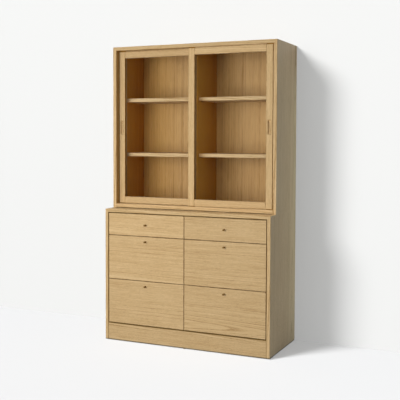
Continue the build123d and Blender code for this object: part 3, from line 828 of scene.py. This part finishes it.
def buildPull(side):
    low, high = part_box(side + "_door_pull")
    shape = bmesh.new()
    bmesh.ops.create_grid(shape, x_segments=1, y_segments=1, size=0.5)
    bmesh.ops.scale(shape, verts=shape.verts, vec=(high.x - low.x, high.z - low.z, 1))
    bmesh.ops.rotate(shape, verts=shape.verts, cent=(0, 0, 0), matrix=Matrix.Rotation(math.pi / 2, 3, "X"))
    bmesh.ops.bevel(shape, geom=list(shape.verts), offset=pullShape["corner"] * mm,
                    segments=pullShape["cornerSteps"], profile=0.5, affect="VERTICES", material=-1,
                    offset_type="OFFSET")
    rim = shape.faces[:][0]
    if rim.normal.y > 0:
        bmesh.ops.reverse_faces(shape, faces=[rim])
    # the outer wall and the back, which sit in the stile
    depth = high.y - low.y
    skirt = bmesh.ops.extrude_edge_only(shape, edges=list(rim.edges))["geom"]
    skirtVerts = [g for g in skirt if isinstance(g, bmesh.types.BMVert)]
    bmesh.ops.translate(shape, verts=skirtVerts, vec=(0, depth, 0))
    bmesh.ops.edgeloop_fill(shape, edges=[g for g in skirt if isinstance(g, bmesh.types.BMEdge)
                                          and all(v in skirtVerts for v in g.verts)])
    # the pocket, with its walls drafted and its rim and floor rounded
    bmesh.ops.inset_region(shape, faces=[rim], thickness=pullShape["wall"] * mm, depth=0,
                           use_even_offset=True)
    bmesh.ops.inset_region(shape, faces=[rim], thickness=pullShape["draft"] * mm,
                           depth=-(depth - pullShape["floor"] * mm), use_even_offset=True)
    floorEdges = list(rim.edges)
    lipEdges = [e for e in shape.edges if all(abs(v.co.y) < 0.001 * mm for v in e.verts)
                and len(e.link_faces) == 2 and e.calc_face_angle(0) > 0.5]
    for edges, width, steps in ((floorEdges, "floorRound", "floorSteps"), (lipEdges, "lip", "lipSteps")):
        bmesh.ops.bevel(shape, geom=edges, offset=pullShape[width] * mm, segments=pullShape[steps],
                        profile=0.5, affect="EDGES", material=-1, offset_type="OFFSET")
    bmesh.ops.remove_doubles(shape, verts=shape.verts, dist=0.005 * mm)
    bmesh.ops.recalc_face_normals(shape, faces=shape.faces)
    middle = (low + high) / 2
    bmesh.ops.translate(shape, verts=shape.verts, vec=(middle.x, low.y, middle.z))
    wood = makeOak("oak_" + side + "_pull", "z", pullShape["grainHeart"], 1.06, centre=middle,
                   dustAndGapShade=pullShape["dustAndGapShadeMix"], dustAndGapShadeWidth=pullShape["dustAndGapShadeWidth"])
    newPiece("finger_pull_" + side, shape, wood, side + "_door", side + "_door_pull", 40)


for side in ("left", "right"):
    buildPull(side)
print("finger pulls made")


# floor and wall, which aren't part of the cabinet

stageLook = {
    "thrownBack": (0.17, 0.17, 0.165, 1),    # what they give back to the cabinet
    "floor": {"seen": (0.352, 0.357, 0.367, 1), "glow": 0.285, "left": -15, "right": 15, "front": -15,
              "rear": 15},
    "wall": {"seen": (0.196, 0.198, 0.199, 1), "glow": 0.297, "left": -2.6, "right": 1.9, "top": 3.0,
             "behind": 0.002},
}


def seenRays(tree):
    # 1 for what the camera sees, in a mirror and through glass too
    ray = addNode(tree, "ShaderNodeLightPath")
    seen = calc(tree, "MAXIMUM", ray.outputs["Is Camera Ray"], ray.outputs["Is Glossy Ray"])
    return calc(tree, "MAXIMUM", seen, ray.outputs["Is Transmission Ray"])


def makeStagePaint(name, look, seeThroughFromBehind):
    material, tree, shader = startMaterial(name)
    tree.nodes.remove(shader)
    matt = addNode(tree, "ShaderNodeBsdfDiffuse")
    glow = addNode(tree, "ShaderNodeEmission")
    seen = seenRays(tree)
    tree.links.new(mixColor(tree, seen, stageLook["thrownBack"], look["seen"]), matt.inputs["Color"])
    tree.links.new(calc(tree, "MULTIPLY", seen, look["glow"]), glow.inputs["Strength"])
    last = addNode(tree, "ShaderNodeAddShader")
    tree.links.new(matt.outputs[0], last.inputs[0])
    tree.links.new(glow.outputs[0], last.inputs[1])
    if seeThroughFromBehind:
        paint, last = last, addNode(tree, "ShaderNodeMixShader")
        clear = addNode(tree, "ShaderNodeBsdfTransparent")
        tree.links.new(addNode(tree, "ShaderNodeNewGeometry").outputs["Backfacing"], last.inputs[0])
        tree.links.new(paint.outputs[0], last.inputs[1])
        tree.links.new(clear.outputs[0], last.inputs[2])
    tree.links.new(last.outputs[0], tree.nodes["Material Output"].inputs["Surface"])
    return material


def stagePlane(name, low, high, turn, material):
    low, high = Vector(low), Vector(high)
    shape = bmesh.new()
    bmesh.ops.create_grid(shape, x_segments=1, y_segments=1, size=0.5)
    bmesh.ops.rotate(shape, verts=shape.verts, cent=(0, 0, 0), matrix=turn)
    bmesh.ops.scale(shape, verts=shape.verts, vec=[s or 1 for s in high - low])
    bmesh.ops.translate(shape, verts=shape.verts, vec=(low + high) / 2)
    mesh = bpy.data.meshes.new(name)
    shape.to_mesh(mesh)
    shape.free()
    mesh.materials.append(material)
    plane = bpy.data.objects.new(name, mesh)
    scene.collection.objects.link(plane)
    return plane


plan = stageLook["floor"]
floor = stagePlane("studio_floor", (plan["left"], plan["front"], 0), (plan["right"], plan["rear"], 0),
                   Matrix.Identity(3), makeStagePaint("studio_floor_paint", plan, False))
plan = stageLook["wall"]
wallY = cadHigh.y + plan["behind"]
wall = stagePlane("studio_wall", (plan["left"], wallY, 0), (plan["right"], wallY, plan["top"]),
                  Matrix.Rotation(math.pi / 2, 3, "X"), makeStagePaint("studio_wall_paint", plan, True))
# the wall only takes shadows, so that light still reaches the cabinet's back
wall.visible_diffuse = wall.visible_shadow = False


# light: the cabinet and the studio's floor and wall have lamps of their own

warmWhite = (1.0, 0.99, 0.975)
lampPlan = {
    # degrees: azimuth from the front towards the left, elevation, softness; share: of full light
    "cabinetKey": {"azimuth": 32, "elevation": 8, "share": 0.2, "softness": 21, "lights": "cabinet"},
    "cabinetBack": {"azimuth": 168, "elevation": 8, "share": 0.8, "softness": 40, "lights": "cabinet"},
    "interiorFill": {"azimuth": -26, "elevation": 0, "share": 0.24, "softness": 60, "lights": "interior",
                     "color": (1.0, 0.96, 0.9)},
    "cabinetRight": {"azimuth": -82, "elevation": 4, "share": 0.09, "softness": 60, "lights": "cabinet",
                     "color": (0.4, 0.62, 1.0)},
    "cabinetTop": {"azimuth": 0, "elevation": 89, "share": 0.42, "softness": 16, "lights": "cabinet"},
    "studioKey": {"azimuth": 35, "elevation": 27, "share": 2.94, "softness": 21, "lights": "studio"},
    "studioFill": {"azimuth": 5, "elevation": 12, "share": 1.0, "softness": 60, "lights": "studio",
                   "color": (0.985, 1.0, 0.965)},
}
areaPlan = {
    # metres; share: of full light at the place it's aimed at
    "softbox": {"place": (-0.9, -3.6, 1.2), "aim": (0.1, -0.2, 1.05), "size": (1.5, 1.9), "share": 0.632},
    "fromWall": {"place": (0.8, 0.262, 0.8), "aim": (0.6, 0.262, 0.8), "size": (0.2, 2.0), "share": 1.75,
                 "color": (0.55, 0.83, 1.0)},
}
litBoards = ("upper_back", "upper_divider", "upper_bottom", "left_door_stile_right")    # and the shelves

receivers = {name: bpy.data.collections.new(name) for name in ("studio", "cabinet", "interior")}
for item in scene.objects:
    if item.type == "MESH":
        receivers["studio" if item in (floor, wall) else "cabinet"].objects.link(item)
for name, node in nodes.items():
    if name in litBoards or name.startswith("shelf_"):
        receivers["interior"].objects.link(node)


def placeLamp(lamp, plan, towards, place=(0, 0, 0)):
    lamp.color = plan.get("color", warmWhite)
    holder = bpy.data.objects.new(lamp.name, lamp)
    holder.rotation_mode = "QUATERNION"
    holder.rotation_quaternion = Vector(towards).to_track_quat("Z", "Y")
    holder.location = place
    scene.collection.objects.link(holder)
    holder.light_linking.receiver_collection = receivers[plan.get("lights", "cabinet")]
    # no lamp shows, in the panes either
    holder.visible_camera = holder.visible_glossy = holder.visible_transmission = False


for name, plan in lampPlan.items():
    lamp = bpy.data.lights.new("lamp_" + name, "SUN")
    lamp.energy = plan["share"] * math.pi
    lamp.angle = math.radians(plan["softness"])
    a, e = math.radians(plan["azimuth"]), math.radians(plan["elevation"])
    placeLamp(lamp, plan, (-math.sin(a) * math.cos(e), -math.cos(a) * math.cos(e), math.sin(e)))

for name, plan in areaPlan.items():
    lamp = bpy.data.lights.new("lamp_" + name, "AREA")
    lamp.shape = "RECTANGLE"
    lamp.size, lamp.size_y = plan["size"]
    toLamp = Vector(plan["place"]) - Vector(plan["aim"])
    lamp.energy = plan["share"] * math.pi ** 2 * toLamp.length_squared
    placeLamp(lamp, plan, toLamp, plan["place"])

worldLook = {"seen": 0.92, "light": 0.2}
world = bpy.data.worlds.new("studio")
scene.world = world
world.use_nodes = True
tree = world.node_tree
sky = tree.nodes["Background"]
sky.inputs["Color"].default_value = (1, 1, 1, 1)
strength = remap(tree, seenRays(tree), (0, 1), (worldLook["light"], worldLook["seen"]))
tree.links.new(strength, sky.inputs["Strength"])


# camera

cameraPlan = {
    "lens": 69.242,
    "sensor": 36.0,
    "shiftY": -0.07,
    "place": (2.1467, -4.7418, 1.3738),
    "yaw": 24.347,
    "pitch": -2.461,
    "roll": 0.1827,
}
cameraData = bpy.data.cameras.new("camera")
cameraData.lens = cameraPlan["lens"]
cameraData.sensor_width = cameraPlan["sensor"]
cameraData.shift_y = cameraPlan["shiftY"]
camera = bpy.data.objects.new("camera", cameraData)
camera.matrix_world = (Matrix.Translation(cameraPlan["place"])
                       @ Matrix.Rotation(math.radians(cameraPlan["yaw"]), 4, "Z")
                       @ Matrix.Rotation(math.radians(90 + cameraPlan["pitch"]), 4, "X")
                       @ Matrix.Rotation(math.radians(cameraPlan["roll"]), 4, "Z"))
scene.collection.objects.link(camera)
scene.camera = camera
scene.view_settings.view_transform = "Standard"
print("stage, lamps and camera set")
